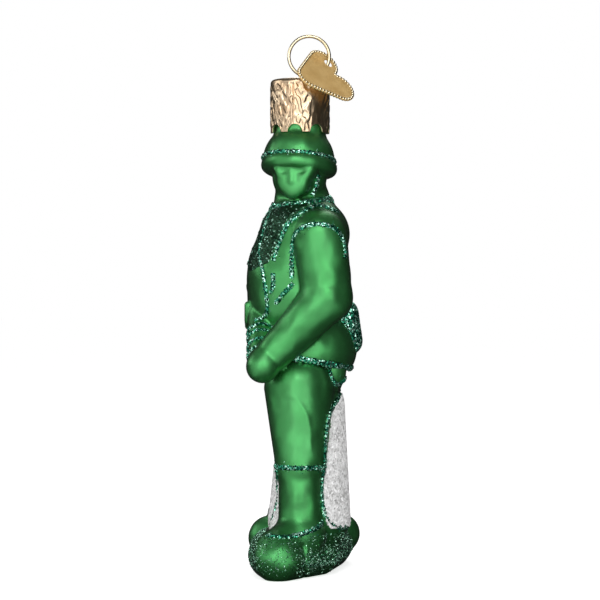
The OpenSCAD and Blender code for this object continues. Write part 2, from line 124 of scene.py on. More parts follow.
def at(*shares):
    """A place from shares of the figure's width, depth and height."""
    return np.array(shares) * FIGURE


def rod(q, a, a_radius, b, b_radius):
    """Distance to a tapered rod: to the nearest point of its axis, less the radius there."""
    ab = b - a
    d = [q[i] - a[i] for i in range(3)]
    t = np.clip((d[0] * ab[0] + d[1] * ab[1] + d[2] * ab[2]) / (ab @ ab), 0, 1)
    gap = np.sqrt(sum((d[i] - t * ab[i]) ** 2 for i in range(3)))
    return gap - (a_radius + (b_radius - a_radius) * t)


def egg(q, centre, radii):
    """Distance to an ellipsoid, near enough: k0 (k0 - 1) / k1 with k0 the length in radii."""
    s = [(q[i] - centre[i]) / radii[i] for i in range(3)]
    k0 = np.sqrt(s[0] ** 2 + s[1] ** 2 + s[2] ** 2)
    k1 = np.sqrt(sum((s[i] / radii[i]) ** 2 for i in range(3)))
    return k0 * (k0 - 1) / np.maximum(k1, 1e-6)


def roll(q, centre, long, short, radius):
    """Distance to a rolled rim: a ring on an oval of two half widths, with a round section."""
    x, y, z = (q[i] - centre[i] for i in range(3))
    k = np.sqrt((x / long) ** 2 + (y / short) ** 2)
    return np.sqrt(((k - 1) * (long + short) / 2) ** 2 + z * z) - radius


def melt(a, b, width):
    """The smaller of two distances, rounded off over that width."""
    h = np.maximum(width - np.abs(a - b), 0) / width
    return np.minimum(a, b) - h * h * width / 4


def carve(a, b, width):
    """What is inside a and outside b, with the edge rounded off over that width."""
    return -melt(-a, b, width)


def outside_polygon(x, y, corners):
    """Distance from points to a convex polygon given counter-clockwise, zero inside it."""
    best, within = np.full(x.shape, 1e6, x.dtype), np.full(x.shape, True)
    for a, b in zip(corners, np.roll(corners, -1, axis=0)):
        e = b - a
        px, py = x - a[0], y - a[1]
        t = np.clip((px * e[0] + py * e[1]) / (e @ e), 0, 1)
        best = np.minimum(best, (px - t * e[0]) ** 2 + (py - t * e[1]) ** 2)
        within &= e[0] * py - e[1] * px >= 0
    return np.where(within, 0, np.sqrt(best))


def turned(degrees_x, degrees_y, degrees_z=0.0):
    """The matrix that turns about X, then Y, then Z."""
    a, b, c = np.radians([degrees_x, degrees_y, degrees_z])
    rx = np.array([[1, 0, 0], [0, math.cos(a), -math.sin(a)], [0, math.sin(a), math.cos(a)]])
    ry = np.array([[math.cos(b), 0, math.sin(b)], [0, 1, 0], [-math.sin(b), 0, math.cos(b)]])
    rz = np.array([[math.cos(c), -math.sin(c), 0], [math.sin(c), math.cos(c), 0], [0, 0, 1]])
    return rz @ ry @ rx


# %% [markdown]
# ## The figure's forms
# The soldier stands on a low mound with the left foot towards us, a rifle held across the
# body and the head turned to look over the left shoulder. Most places are the ones the CAD
# part uses, as shares of the width, depth and height. The barrel on the chest is only here.

# %% Places and radii of the figure's forms
GROUND = np.array([[0.46, -0.19], [0.18, 0.125], [-0.22, 0.26], [-0.42, 0.28], [0.03, -0.24],
                   [0.29, -0.245]]) * FIGURE[:2]
GROUND_R, GROUND_Z = 5.2, 4.45
LEFT_HEEL, LEFT_TOE = at(0.325, 0.02, 0.087), at(0.41, -0.19, 0.06)
LEFT_ANKLE, LEFT_BOOT, LEFT_HIP = at(0.31, 0.01, 0.10), at(0.27, 0.005, 0.235), at(0.16, -0.005, 0.41)
RIGHT_HEEL, RIGHT_TOE = at(-0.33, 0.375, 0.069), at(-0.25, -0.275, 0.062)
RIGHT_ANKLE, RIGHT_BOOT, RIGHT_HIP = at(-0.31, -0.11, 0.112), at(-0.265, 0.08, 0.235), at(-0.16, 0.06, 0.41)
WEB_FOOT, WEB_TOP = at(0.15, 0.085, 0.12), at(0.075, 0.115, 0.37)
WEB_FOOT_R, WEB_TOP_R = 8.6, 6.6
HEM_Z, HEM_FALL = 0.478 * 98, 0.0476 * 98 / 24
LEFT_SHOULDER, LEFT_ELBOW = at(0.275, 0.175, 0.745), at(0.325, 0.247, 0.612)
LEFT_WRIST, LEFT_HAND = at(0.33, -0.25, 0.485), at(0.345, -0.31, 0.472)
RIGHT_SHOULDER, RIGHT_ELBOW = at(-0.275, 0.175, 0.745), at(-0.35, 0.17, 0.612)
RIGHT_WRIST, RIGHT_HAND = at(-0.05, -0.33, 0.575), at(0.0, -0.37, 0.57)
BUTT, FORE_END, MUZZLE = at(0.335, -0.33, 0.457), at(0.05, -0.36, 0.575), at(-0.25, -0.30, 0.70)
BARREL = at(-0.10, -0.412, 0.637)
PACK_AT, PACK_FALL, PACK_SIDES, PACK_R = (9.6, 56.35), (0.84, -5.88), (-4.4, 1.6), 3.1
HEAD, DOME = at(0.025, -0.004, 0.884), at(0.005, -0.012, 0.918)
BRIM = at(0.012, -0.004, 0.902) + np.array([0, 0, 0.15])
HELMET_TURN, HELMET_FOOT = turned(-4, -8), 0.884 * 98
BAND_HEIGHT = 0.921 * 98
TUBE_R, TUBE_TOP, BORE_R = 5.7, 107.3, 4.6
# Limbs are tapered rods (place, radius, place, radius) and big forms are eggs (middle, radii)
LEFT_FOOT, RIGHT_FOOT = (LEFT_HEEL, 4.7, LEFT_TOE, 5.0), (RIGHT_HEEL, 4.5, RIGHT_TOE, 5.0)
LEFT_SHAFT, RIGHT_SHAFT = (LEFT_ANKLE, 4.9, LEFT_BOOT, 4.7), (RIGHT_ANKLE, 4.7, RIGHT_BOOT, 4.8)
LEFT_THIGH, RIGHT_THIGH = (LEFT_BOOT, 5.35, LEFT_HIP, 7.7), (RIGHT_BOOT, 5.4, RIGHT_HIP, 7.6)
INSTEP = (LEFT_ANKLE + np.array([0.5, -0.6, -0.6]), (5.4, 5.7, 3.4))
HIPS, SKIRT = (at(0, 0.05, 0.435), (10.4, 8.4, 7.0)), (at(0, 0.055, 0.497), (12.2, 11.2, 9.5))
CHEST, BACK = (at(0, -0.01, 0.65), (12.6, 11.5, 15.0)), (at(0, 0.048, 0.754), (13.2, 9.8, 8.5))
NECK = (at(-0.02, 0.038, 0.785), 7.4, at(-0.03, 0.004, 0.867), 5.4)
LEFT_SLEEVE = [(LEFT_SHOULDER, 6.0, LEFT_ELBOW, 5.3), (LEFT_ELBOW, 5.3, LEFT_WRIST, 3.8)]
RIGHT_SLEEVE = [(RIGHT_SHOULDER, 6.0, RIGHT_ELBOW, 5.3), (RIGHT_ELBOW, 5.3, RIGHT_WRIST, 4.1)]
STOCK = (BUTT, 3.2, FORE_END, 2.8)
HANDGUARD, BARREL_TIP = (FORE_END, 2.8, BARREL, 1.9), (BARREL, 1.9, MUZZLE, 1.7)
PALM, FINGERS = (LEFT_HAND, (3.6, 3.5, 3.7)), (LEFT_HAND + np.array([0.5, -0.7, -1.1]), (3.6, 3.4, 3.5))
GRIP, KNUCKLE_STEPS, KNUCKLE_R = (RIGHT_HAND, (3.5, 3.3, 3.6)), (-2.2, -0.7, 0.8, 2.3), 0.8
POCKET_POUCH = (at(0.13, 0.287, 0.45), (3.4, 3.2, 4.6))
# The face looks along FACE, and FACE_SIDE is towards the soldier's left cheek
FACE = np.array([math.cos(math.radians(-14)), math.sin(math.radians(-14)), 0.0])
FACE_SIDE = np.array([-FACE[1], FACE[0], 0.0])


# A mould seam runs down the near leg and a crease down the mound: lines of (Y, Z) on the near side
SEAM = np.array([[-3.2, 39.3], [-1.1, 38.5], [0.6, 36.3], [1.7, 34.2], [2.1, 31.2], [2.3, 27.8]])
CREASE = np.array([[0.6, 7.2], [1.1, 4.5], [0.9, 0.6]])
SEAM_RISE, CREASE_DEPTH, DRAWN_WIDTH, NEAR_SIDE = 0.13, 0.6, 0.5, 7


def drawn(q, line):
    """One on a drawn line of (Y, Z) places, falling to nothing a few widths to either side."""
    flat = (0 * q[0], q[1], q[2])
    places = np.column_stack([np.zeros(len(line)), line])
    gap = np.minimum.reduce([rod(flat, a, 0.0, b, 0.0) for a, b in zip(places[:-1], places[1:])])
    return np.exp(-(gap / DRAWN_WIDTH) ** 2) * (q[0] > NEAR_SIDE)



def on_face(forward, side, height):
    """A place on the face: forwards and sideways from the head's middle, at a height in mm."""
    return np.array([HEAD[0], HEAD[1], 0]) + forward * FACE + side * FACE_SIDE + np.array([0, 0, height])


def ground_only(q):
    """The mound alone: a polygon laid at one height, fattened."""
    return np.sqrt(outside_polygon(q[0], q[1], GROUND) ** 2 + (q[2] - GROUND_Z) ** 2) - GROUND_R


def web_only(q):
    """The web alone: a trapezoid patch between the legs, fattened, thicker at its foot."""
    x, y, z = q
    rise = WEB_TOP - WEB_FOOT
    t = np.clip((z - WEB_FOOT[2]) / rise[2], 0, 1)
    half = WEB_FOOT[0] + rise[0] * t
    gap = np.sqrt((x - np.clip(x, -half, half)) ** 2 + (y - WEB_FOOT[1] - rise[1] * t) ** 2
                  + (z - WEB_FOOT[2] - rise[2] * t) ** 2)
    return gap - (WEB_FOOT_R + (WEB_TOP_R - WEB_FOOT_R) * t)


def legs(q):
    """Ground, boots, legs and the web of glass between the legs."""
    d = melt(ground_only(q), rod(q, *LEFT_FOOT), 1.2)
    d = melt(d, rod(q, *RIGHT_FOOT), 0.8)
    d = melt(d, np.minimum(rod(q, *LEFT_SHAFT), rod(q, *RIGHT_SHAFT)), 0.9)
    d = melt(d, egg(q, *INSTEP), 1.6)
    d = melt(d, np.minimum(rod(q, *LEFT_THIGH), rod(q, *RIGHT_THIGH)), 0.5)
    d = melt(melt(d, web_only(q), 0.5), egg(q, *HIPS), 0.8)
    d = d - SEAM_RISE * drawn(q, SEAM) + CREASE_DEPTH * drawn(q, CREASE)
    return carve(d, q[2], 0.3)


def sleeve(q, rods):
    """An arm: its upper and lower rod melted together at the elbow."""
    return melt(rod(q, *rods[0]), rod(q, *rods[1]), 0.7)


def rifle(q):
    """Stock, handguard and the barrel, which lies on the chest."""
    return melt(melt(rod(q, *STOCK), rod(q, *HANDGUARD), 0.6), rod(q, *BARREL_TIP), 0.6)


def far_hand(q):
    """The hand on the handguard, with four fingers laid round it."""
    d = egg(q, *GRIP)
    for step in KNUCKLE_STEPS:
        middle = RIGHT_HAND + np.array([step, -2.5, 0.25 * step])
        top, foot = middle + np.array([0, 0, 1.9]), middle - np.array([0, 0, 1.7])
        d = melt(d, rod(q, top, KNUCKLE_R, foot, KNUCKLE_R), 0.35)
    return d


def pack_only(q):
    """The back pack alone: a patch that runs down and a little outwards, fattened."""
    x, y, z = q
    (y_top, z_top), (out, down) = PACK_AT, PACK_FALL
    run = np.clip(((y - y_top) * out + (z - z_top) * down) / (out ** 2 + down ** 2), 0, 1)
    return np.sqrt((x - np.clip(x, *PACK_SIDES)) ** 2 + (y - y_top - out * run) ** 2
                   + (z - z_top - down * run) ** 2) - PACK_R


def trunk(q):
    """Vest, shoulders, neck, arms, rifle, pack and pocket."""
    below_hem = (q[2] - HEM_Z + HEM_FALL * q[1]) / math.hypot(1, HEM_FALL)
    d = melt(egg(q, *CHEST), egg(q, *BACK), 1.6)
    d = melt(d, carve(egg(q, *SKIRT), below_hem, 0.8), 1.2)
    d = melt(d, rod(q, *NECK), 1.2)
    d = melt(d, np.minimum(sleeve(q, LEFT_SLEEVE), sleeve(q, RIGHT_SLEEVE)), 0.6)
    d = melt(d, rifle(q), 0.4)
    d = melt(d, melt(egg(q, *PALM), egg(q, *FINGERS), 0.8), 0.25)
    d = melt(d, far_hand(q), 0.5)
    return melt(melt(d, pack_only(q), 0.5), egg(q, *POCKET_POUCH), 0.5)


def face(q):
    """A plain face: a mask that narrows to the chin, cut flat in front and under the brim, with
    shallow dents for the eyes and a low nose."""
    ahead = (q[0] - HEAD[0]) * FACE[0] + (q[1] - HEAD[1]) * FACE[1]
    brow, cheeks, chin = on_face(5.0, 0.3, 87.6), on_face(5.3, 0.1, 85.3), on_face(5.9, 0, 83.5)
    mask = melt(rod(q, brow, 5.0, cheeks, 3.8), rod(q, cheeks, 3.8, chin, 2.1), 0.5)
    mask = carve(carve(mask, 7.5 - ahead, 1.0), 88.2 - q[2], 0.5)
    for side in (-2.0, 2.0):
        mask = carve(mask, egg(q, on_face(8.0, side, 87.3), (0.8, 1.2, 0.5)), 0.6)
    return melt(mask, rod(q, on_face(7.2, 0, 87.3), 0.35, on_face(7.5, 0, 85.2), 0.5), 0.8)


def helmet(q):
    """The helmet: a dome and a rolled brim, tipped together and cut off flat below."""
    moved = [q[i] - DOME[i] for i in range(3)]
    h = [sum(HELMET_TURN[k, i] * moved[k] for k in range(3)) + DOME[i] for i in range(3)]
    shell = melt(egg(h, DOME, (8.7, 7.9, 7.9)), roll(h, BRIM, 7.6, 6.7, 1.8), 0.4)
    return carve(shell, h[2] - HELMET_FOOT, 1.2)


def head(q):
    """Head, face and helmet."""
    return melt(melt(egg(q, HEAD, (6.3, 6.0, 6.4)), face(q), 0.7), helmet(q), 0.35)


def soldier(q):
    """Distance from points to the outside of the whole blowing, with the bore in its neck."""
    x, y, z = q
    d = melt(melt(legs(q), trunk(q), 0.6), head(q), 0.6)
    reach = np.sqrt(x * x + y * y)
    tube = np.maximum(np.maximum(reach - TUBE_R, z - TUBE_TOP), 90 - z)
    d = melt(d, tube, 0.7)
    return carve(d, np.maximum(reach - BORE_R, 96 - z), 0.25)


# %% [markdown]
# ## Finding the skin
# A net of small cells is laid through the space around the figure. Every cell that the skin
# passes through gets one point, at the mean of the places where its edges are crossed, and
# points of neighbouring cells are joined into quads. One sheet of two parameters can't follow
# the undercuts at the brim, hem and hands, which is why this piece is made as a net.
# Then each point slides along the slope of the distance until it lies on the skin.

# %% A net over the zero level
def measure(distance, points):
    """The distance at an array of points."""
    return distance(tuple(np.ascontiguousarray(points[:, i], np.float32) for i in range(3)))


def slope(distance, points, reach=0.02):
    """The direction in which the distance grows: four samples at the corners of a tetrahedron."""
    arms = np.array([[1, -1, -1], [-1, -1, 1], [-1, 1, -1], [1, 1, 1]], float)
    grad = sum(arm * measure(distance, points + arm * reach)[:, None] for arm in arms)
    return grad / np.maximum(np.linalg.norm(grad, axis=1, keepdims=True), 1e-9)


def settle(distance, points, rounds=3, stride=0.5):
    """Points moved along the slope by their distance, at most one stride a round."""
    for _ in range(rounds):
        gap = np.clip(measure(distance, points), -stride, stride)
        points = points - slope(distance, points) * gap[:, None]
    return points


def net(distance, low, high, step):
    """The points and quads of the zero level inside a box, found in cells of that size."""
    axes = [np.arange(lo, hi + step, step, dtype=np.float32) for lo, hi in zip(low, high)]
    shape = tuple(len(axis) for axis in axes[::-1])
    values = np.empty(shape, np.float32)
    for k in range(0, shape[0], 6):
        z, y, x = np.meshgrid(axes[2][k:k + 6], axes[1], axes[0], indexing="ij")
        values[k:k + 6] = distance((x.ravel(), y.ravel(), z.ravel())).reshape(z.shape)
    inside = values < 0
    eight = sum(inside[a:shape[0] - 1 + a, b:shape[1] - 1 + b, c:shape[2] - 1 + c].astype(np.int8)
                for a in (0, 1) for b in (0, 1) for c in (0, 1))
    cells = np.argwhere((eight > 0) & (eight < 8))
    number = np.full(eight.shape, -1, np.int32)
    number[tuple(cells.T)] = np.arange(len(cells))
    total, count = np.zeros((len(cells), 3)), np.zeros(len(cells))
    for axis in range(3):
        for a in (0, 1):
            for b in (0, 1):
                corner = np.insert([a, b], axis, 0)
                far = corner + np.eye(3, dtype=int)[axis]
                v0, v1 = values[tuple((cells + corner).T)], values[tuple((cells + far).T)]
                crossed = (v0 < 0) != (v1 < 0)
                t = np.where(crossed, v0 / np.where(crossed, v0 - v1, 1), 0)
                total += crossed[:, None] * (corner + t[:, None] * (far - corner))
                count += crossed
    points = np.array(low) + (cells + total / count[:, None])[:, ::-1] * step
    quads = []
    for axis, (u, v) in ((0, (1, 2)), (1, (2, 0)), (2, (0, 1))):
        # axis 0 runs along z, 1 along y and 2 along x; u and v are the other two in right-hand order
        before = np.take(inside, range(0, shape[axis] - 1), axis)
        after = np.take(inside, range(1, shape[axis]), axis)
        edges = np.argwhere(before != after)
        edges = edges[np.all((edges > 0)[:, [u, v]], axis=1)]
        back_u, back_v = np.eye(3, dtype=int)[u], np.eye(3, dtype=int)[v]
        ring = [number[tuple((edges - s).T)] for s in (back_u + back_v, back_v, 0 * back_u, back_u)]
        ring = np.stack(ring, -1)
        outward = before[tuple(edges.T)]
        quads.append(np.where(outward[:, None], ring[:, ::-1], ring))
    return points, np.concatenate(quads)


def even_out(points, quads, distance, rounds=2):
    """Points drawn half-way to the mean of their neighbours, then settled on the skin again."""
    a, b = quads.ravel(), np.roll(quads, -1, axis=1).ravel()
    degree = np.bincount(a, minlength=len(points)) + np.bincount(b, minlength=len(points))
    for _ in range(rounds):
        mean = np.stack([(np.bincount(a, points[b, i], len(points))
                          + np.bincount(b, points[a, i], len(points)))
                         / degree for i in range(3)], -1)
        points = settle(distance, points + 0.5 * (mean - points), 2)
    return points


CELL = 0.45
skin, skin_quads = net(soldier, (-25, -15, -1.2), (26, 17, 108.4), CELL)
skin = even_out(settle(soldier, skin), skin_quads, soldier)
glass = add_mesh("glass_soldier", skin, skin_quads)

# %% [markdown]
# ## Laying glitter lines on the skin
# On the real ornament a thin line of glue is drawn along each seam and dipped in glitter.
# A line is drawn flat, as it looks from the viewing point 500 mm to the soldier's left, and
# thrown onto the skin along the lines of sight. Around it goes a low rough bead of grains.

# %% Lines, beads, coats and chips
EYE = np.array([500.0, 0.0, 59.4])
chance = np.random.default_rng(7)


def cast(distance, starts, headings, rounds=90):
    """Where rays first meet a skin: each goes on by four fifths of its distance, again and again."""
    headings = headings / np.linalg.norm(headings, axis=1, keepdims=True)
    gone = np.zeros(len(starts))
    for _ in range(rounds):
        gap = measure(distance, starts + headings * gone[:, None])
        gone = gone + np.clip(0.8 * gap, -0.5, 3)
    return starts + headings * gone[:, None], np.abs(gap) < 0.05


def evenly(line, spacing, closed=False):
    """A drawn line with its corners cut off three times and points at even spacing along it."""
    line = np.asarray(line, float)
    for _ in range(3):
        ahead = np.roll(line, -1, axis=0) if closed else line[1:]
        here = line if closed else line[:-1]
        corners = np.stack([0.75 * here + 0.25 * ahead, 0.25 * here + 0.75 * ahead], 1)
        cut = corners.reshape(-1, line.shape[1])
        line = cut if closed else np.concatenate([line[:1], cut, line[-1:]])
    if closed:
        line = np.concatenate([line, line[:1]])
    run = np.concatenate([[0], np.cumsum(np.linalg.norm(np.diff(line, axis=0), axis=1))])
    places = np.linspace(0, run[-1], max(int(run[-1] / spacing), 4) + 1)
    places = places[:-1] if closed else places
    return np.stack([np.interp(places, run, line[:, i]) for i in range(line.shape[1])], -1)


STEP = 0.26


def seen(line, side=1):
    """A line of (Y, Z) places on the plane X = 0, thrown onto the skin from the eye on that side."""
    flat = evenly(line, STEP)
    target = np.column_stack([np.zeros(len(flat)), flat])
    eye = EYE * [side, 1, 1]
    heading = target - eye
    start = eye + heading * (470 / 500)
    points, hit = cast(soldier, start, heading)
    return points[hit]


def bead(distance, path, width=1.2, height=0.45, sink=0.3, around=10, closed=False):
    """A rough bead along a path: at angle a it lies half the width times cos a to the side and
    the height (or, below the skin, the sinking) times sin a along the skin's slope."""
    normal = slope(distance, path, 0.15)
    along = np.roll(path, -1, 0) - np.roll(path, 1, 0) if closed else np.gradient(path, axis=0)
    across = np.cross(normal, along)
    across /= np.maximum(np.linalg.norm(across, axis=1, keepdims=True), 1e-9)
    a = np.linspace(0, 2 * np.pi, around, endpoint=False)
    rough = chance.uniform(0.7, 1.12, (len(path), around, 1))
    s = np.sin(a)[None, :, None]
    lift = np.where(s > 0, height * s, sink * s)
    swell = chance.uniform(0.85, 1.1, (len(path), 1, 1))
    grid = path[:, None] + rough * swell * (across[:, None] * (width / 2 * np.cos(a))[None, :, None]
                                            + normal[:, None] * lift)
    grid += along[:, None] / np.maximum(np.linalg.norm(along, axis=1), 1e-9)[:, None, None] \
        * chance.uniform(-0.08, 0.08, (len(path), around, 1))
    quads, tris = tube_faces(len(path), around, closed)
    return tube_points(grid, closed), quads[:, ::-1], tris[:, ::-1]


def chips(points, normals, size):
    """Small four-sided grains: three corners around a point, turned at random, and a tip."""
    count = len(points)
    side = np.cross(normals, chance.normal(size=(count, 3)))
    side /= np.linalg.norm(side, axis=1, keepdims=True)
    other = np.cross(normals, side)
    scale = size * chance.uniform(0.6, 1.3, (count, 1, 1))
    turn = np.array([0, 2, 4]) * np.pi / 3
    feet = side[:, None] * np.cos(turn)[None, :, None] + other[:, None] * np.sin(turn)[None, :, None]
    lean = side * chance.normal(size=(count, 1)) + other * chance.normal(size=(count, 1))
    tip = normals * 0.8 + 0.7 * lean
    corners = np.concatenate([feet - 0.45 * normals[:, None], tip[:, None]], 1) * scale + points[:, None]
    first = 4 * np.arange(count)[:, None, None]
    tris = (first + np.array([[0, 2, 1], [0, 1, 3], [1, 2, 3], [2, 0, 3]])[None]).reshape(-1, 3)
    return corners.reshape(-1, 3), np.zeros((0, 4), int), tris


def coat(form, limits, low, high, thick=0.35, sink=0.3, step=0.36, shake=0.12):
    """A rough layer on a form: the points from the sinking below its skin to the thickness above
    it that keep inside the limits, as a net whose points are shaken a little."""
    step = step

    def layer(q):
        return np.maximum(np.abs(form(q) - (thick - sink) / 2) - (thick + sink) / 2, limits(q))

    points, quads = net(layer, low, high, step)
    points = points + chance.uniform(-shake, shake, points.shape)
    return points, quads, np.zeros((0, 3), int)


# %% [markdown]
# ## The lines of glitter
# Band of the helmet, chin strap, lapels, armholes, vest, hem, pocket and boots: each is one
# applied line. Rings go round a limb by casting rays at its axis from all sides.


# %% Glitter lines along the clothing
def ring(distance, centre, height, turn=None, rises=None):
    """A ring cast at an upright or turned axis from all sides, at a height that may rise with the angle."""
    count = 190
    a = np.linspace(0, 2 * np.pi, count, endpoint=False)
    out = np.column_stack([np.cos(a), np.sin(a), np.zeros(count)])
    start = out * 24 + np.array([0, 0, height - centre[2]])
    if rises is not None:
        start[:, 2] += rises(a)
    turn = np.eye(3) if turn is None else turn
    points, _ = cast(distance, start @ turn.T + centre, -out @ turn.T)
    return points


def left_leg(q):
    """The near leg and boot alone."""
    return np.minimum(rod(q, *LEFT_SHAFT), rod(q, *LEFT_THIGH))


def right_leg(q):
    """The far leg and boot alone."""
    return np.minimum(rod(q, *RIGHT_SHAFT), rod(q, *RIGHT_THIGH))


def gun_only(q):
    """The rifle's stock alone."""
    return rod(q, *STOCK)


FAR_WELT = [(-7.4, 8.0), (-3.1, 7.4), (1.6, 7.2), (5.6, 7.4), (9.0, 7.2)]
LAPEL = [(8.4, 78.8), (4.4, 80.5), (2.2, 79.9), (-1.1, 77.7), (-2.9, 75.9), (-3.7, 74.1),
         (-4.8, 71.5), (-5.9, 68.0)]
ARMHOLE = [(-1.8, 64.2), (-1.8, 71.9), (-0.9, 74.4), (0.9, 75.7), (3.7, 76.3), (6.8, 75.7), (9.0, 74.1),
           (9.9, 71.1), (9.9, 68.6)]
VEST = [[(-5.6, 80.6), (-7.0, 77.7), (-8.6, 72.4), (-9.1, 69.3), (-8.2, 66.0), (-7.5, 61.6),
         (-7.0, 56.8), (-8.1, 55.4), (-9.9, 55.0)],
        [(-5.9, 65.3), (-5.9, 61.6), (-6.6, 61.2)], [(-1.5, 63.1), (-3.1, 61.4), (-5.3, 58.7)]]
POCKET = [(6.4, 44.9), (6.6, 42.7), (8.4, 40.0), (11.2, 44.0)]
STRAP = [(4.2, 86.9), (3.3, 83.6), (2.6, 82.3)]
LEG_BACK = [(9.2, 39.4), (8.3, 37.6), (7.2, 35.9), (6.2, 33.9), (5.5, 28.6), (5.5, 23.1),
            (4.8, 19.8), (4.8, 15.4), (5.7, 11.4), (7.5, 9.5), (10.4, 9.5)]
LEG_FRONT = [(-5.1, 22.0), (-4.6, 15.4), (-6.4, 9.9)]
WELT = [(-7.3, 7.6), (-3.1, 7.1), (0.7, 8.0), (3.7, 9.1), (4.9, 10.6)]

lines = {
    "helmet_band": [bead(soldier, ring(soldier, DOME, BAND_HEIGHT, HELMET_TURN), closed=True)],
    "chin_strap": [bead(soldier, seen(STRAP), 1.2)],
    "lapel_left": [bead(soldier, seen(LAPEL))],
    "armhole_left": [bead(soldier, seen(ARMHOLE))],
    "armhole_right": [bead(soldier, seen(ARMHOLE, -1))],
    "vest_front": [bead(soldier, seen(line)) for line in VEST],
    "pocket_edge": [bead(soldier, seen(POCKET))],
    "leg_lines": [bead(soldier, seen(line, side)) for line in (LEG_BACK, LEG_FRONT) for side in (1, -1)],
    "boot_top_left": [bead(left_leg, ring(left_leg, LEFT_BOOT, 23.6), closed=True)],
    "boot_top_right": [bead(right_leg, ring(right_leg, RIGHT_BOOT, 23.2), closed=True)],
    "boot_welt_left": [bead(soldier, seen(WELT))],
    "boot_welt_right": [bead(soldier, seen(FAR_WELT, -1))],
}
print("drawn lines:", len(lines))

# %% [markdown]
# The far lapel runs down the front of the chest, which is turned 25 degrees towards us, so
# its line is thrown from the front instead. The hem and the collar are rings that rise and
# fall on their way round, and the rifle's bands are circles round its tapered stock.

# %% Rings on hem, neck and rifle
CHEST_TURN = turned(0, 0, 25)


def front(line):
    """A line of (across, up) shares on the turned front of the chest, thrown onto the skin."""
    flat = evenly(np.array(line) * [40, 98], STEP)
    start = np.column_stack([flat[:, 0], np.full(len(flat), -32.0), flat[:, 1]]) @ CHEST_TURN.T
    points, hit = cast(soldier, start, np.tile(CHEST_TURN @ [0, 1.0, 0], (len(flat), 1)))
    return points[hit]


def hem_form(q):
    """The vest's skirt with the pocket and arms left off."""
    return np.minimum(egg(q, *SKIRT), egg(q, *HIPS))


def around_rod(a, a_radius, b, b_radius, share):
    """A ring round a tapered rod at a share of its length."""
    axis = (b - a) / np.linalg.norm(b - a)
    side = np.cross(axis, (0, 0, 1.0))
    side /= np.linalg.norm(side)
    other = np.cross(axis, side)
    t = np.linspace(0, 2 * np.pi, 80, endpoint=False)[:, None]
    radius = a_radius + (b_radius - a_radius) * share
    return a + (b - a) * share + radius * (side * np.cos(t) + other * np.sin(t))


BAND_SHARES = (0.22, 0.37, 0.53, 0.64)
LAPEL_RIGHT_SHARES = [(-0.09, 0.825), (-0.14, 0.775), (-0.165, 0.725), (-0.165, 0.685)]
lines["lapel_right"] = [bead(soldier, front(LAPEL_RIGHT_SHARES))]
lines["vest_hem"] = [bead(hem_form, ring(hem_form, at(0, 0.055, 0.478), 46.5,
                                         rises=lambda a: -HEM_FALL * 11.0 * np.sin(a)), 1.6, closed=True)]
lines["rifle_bands"] = [bead(gun_only, around_rod(*STOCK, share), 1.0, closed=True)
                        for share in BAND_SHARES]
lines["collar"] = [bead(soldier, ring(soldier, np.array([-1.0, 0.5, 80.6]), 80.6,
                                      rises=lambda a: 1.0 * np.sin(a)), 2.0, closed=True)]
print("rings:", [name for name in lines if name in ("vest_hem", "rifle_bands", "collar")])

# %% [markdown]
# ## Coats of glitter
# The back pack is dusted all over and the web of glass between the legs is frosted white.
# A coat is the layer of space just above a form's skin, found with the same kind of net.


# %% Coats on pack and web
def both_legs(q):
    """Both legs with their boots."""
    return np.minimum(left_leg(q), right_leg(q))


def border(q):
    """How far back the frosted part of the web begins at each height: along the leg's glitter line."""
    back, height = np.array(LEG_BACK[:-1]).T
    return np.interp(q[2], height[::-1], back[::-1]).astype(np.float32)


def between(q, foot, top):
    """Below zero between two heights and clear of both legs."""
    return np.maximum(np.maximum(foot - q[2], q[2] - top), -both_legs(q) - 0.1)


lines["pack_glitter"] = [coat(pack_only, lambda q: -egg(q, *CHEST) - 0.2,
                              (-9, 5, 46), (6, 15, 61), 0.2, 0.35, 0.36, 0.05)]
lines["web_frost_back"] = [coat(web_only, lambda q: np.maximum(between(q, 10.2, 40.0), border(q) - q[1]),
                                (-16, 2, 8), (16, 13, 41))]
lines["web_frost_front"] = [coat(web_only, lambda q: np.maximum(between(q, 9.0, 34.0), q[1] - 0.5),
                                 (-16, -9, 8), (16, 2, 36))]
print("coats:", {name: len(lines[name][0][0])
                for name in ("pack_glitter", "web_frost_back", "web_frost_front")})

# %% [markdown]
# ## Loose grains
# Over the mound the grains lie apart. Each is a tiny four-sided chip, dropped on the skin where
# a ray from a seeded random place meets it. The shirt between the lapels has a fine dark coat,
# and stray grains have settled beside most of the lines.


# %% Ground grains, shirt coat and strays
def dropped(starts, headings, keep):
    """Places and slopes where the rays that meet the skin do so, if the test keeps them."""
    points, hit = cast(soldier, starts, headings)
    points = points[hit & keep(points)]
    return points, slope(soldier, points)


count = 26000
aim = np.column_stack([chance.uniform(-19, 20, count), chance.uniform(-7, 8, count), np.full(count, 3.0)])
swing, tilt = chance.uniform(0, 2 * np.pi, count), np.radians(chance.uniform(-4, 70, count))
away = np.column_stack([np.cos(swing) * np.cos(tilt), np.sin(swing) * np.cos(tilt), np.sin(tilt)])
thick_side = chance.uniform(0, 1, count)


def near_boot(q):
    """The near boot's foot alone."""
    return np.minimum(rod(q, *LEFT_FOOT), rod(q, *LEFT_SHAFT))


def on_ground(points):
    """Low on the figure, above its bare edge: fewer on the toe side and near boot, none on the far foot."""
    bare = (points[:, 1] < 1.0) & (points[:, 0] > 4) & (thick_side > 0.5)
    boot = (measure(near_boot, points) < 0.4) & (thick_side > 0.35)
    far = (points[:, 0] < 0) & (measure(ground_only, points) > 0.3)
    return (points[:, 2] > 0.5) & (points[:, 2] < 9.4) & ~bare & ~boot & ~far


spots, spot_slopes = dropped(aim + away * 45, -away, on_ground)
lines["ground_glitter"] = [chips(spots, spot_slopes, 0.19)]


